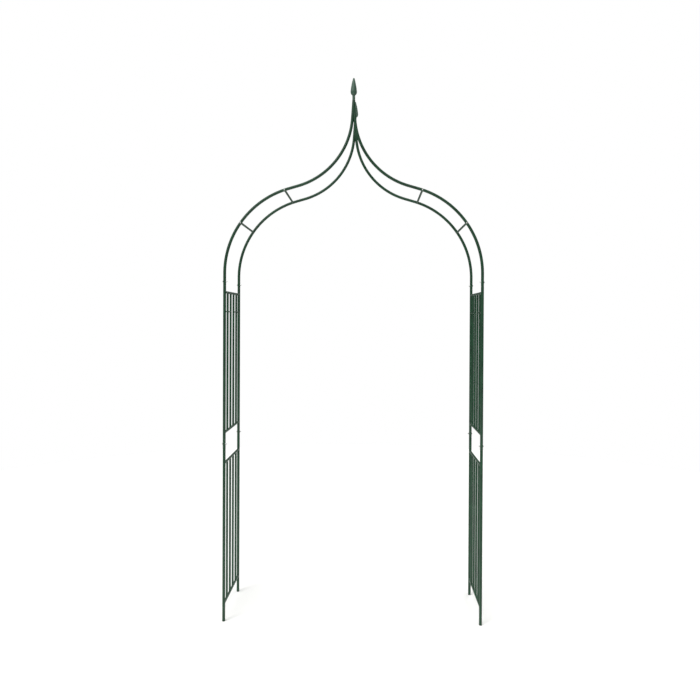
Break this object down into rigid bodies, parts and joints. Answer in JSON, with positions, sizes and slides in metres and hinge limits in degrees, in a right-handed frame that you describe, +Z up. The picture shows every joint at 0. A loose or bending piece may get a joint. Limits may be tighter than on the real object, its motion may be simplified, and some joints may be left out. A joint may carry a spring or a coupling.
{
  "type": "garden arch",
  "caption": "Free-standing ogee garden arch of bent green tube: paired hoops tied front to back, barred ladder panels at the sides and spear finials on the peaks.",
  "frame": {"origin": "On the ground, midway between the four feet: the bottom centre of the bounding box.", "axes": "+Z up, along the height. X across the walkway, from the left panel (-X) to the right one (+X). Y from the front hoop (-Y) to the rear hoop (+Y)."},
  "size_m": [1.24, 0.397, 2.5816],
  "materials": {
    "green_powder_coat": "satin powder coat in dark moss green on thin steel tube",
    "green_coated_casting": "satin powder coat in the same green on a casting",
    "zinc_plated_steel": "bright zinc plated screws and nuts",
    "black_plastic": "moulded tube plug"
  },
  "bodies": {
    "root": {"left_front_lower_leg": "green_powder_coat", "left_rear_lower_leg": "green_powder_coat", "right_front_lower_leg": "green_powder_coat", "right_rear_lower_leg": "green_powder_coat", "left_front_upper_leg": "green_powder_coat", "left_rear_upper_leg": "green_powder_coat", "right_front_upper_leg": "green_powder_coat", "right_rear_upper_leg": "green_powder_coat", "left_lower_bottom_rail": "green_powder_coat", "left_lower_top_rail": "green_powder_coat", "left_upper_bottom_rail": "green_powder_coat", "left_upper_top_rail": "green_powder_coat", "right_lower_bottom_rail": "green_powder_coat", "right_lower_top_rail": "green_powder_coat", "right_upper_bottom_rail": "green_powder_coat", "right_upper_top_rail": "green_powder_coat", "left_lower_bars": "green_powder_coat", "left_upper_bars": "green_powder_coat", "right_lower_bars": "green_powder_coat", "right_upper_bars": "green_powder_coat", "left_upper_stays": "green_powder_coat", "right_upper_stays": "green_powder_coat", "left_front_hoop_tube": "green_powder_coat", "left_rear_hoop_tube": "green_powder_coat", "right_front_hoop_tube": "green_powder_coat", "right_rear_hoop_tube": "green_powder_coat", "left_shoulder_tie": "green_powder_coat", "left_crown_tie": "green_powder_coat", "right_shoulder_tie": "green_powder_coat", "right_crown_tie": "green_powder_coat", "front_finial": "green_coated_casting", "rear_finial": "green_coated_casting", "foot_plugs": "black_plastic", "leg_joint_screws": "zinc_plated_steel", "leg_joint_nuts": "zinc_plated_steel", "hoop_joint_screws": "zinc_plated_steel", "hoop_joint_nuts": "zinc_plated_steel", "tie_screws": "zinc_plated_steel"}
  },
  "joints": []
}
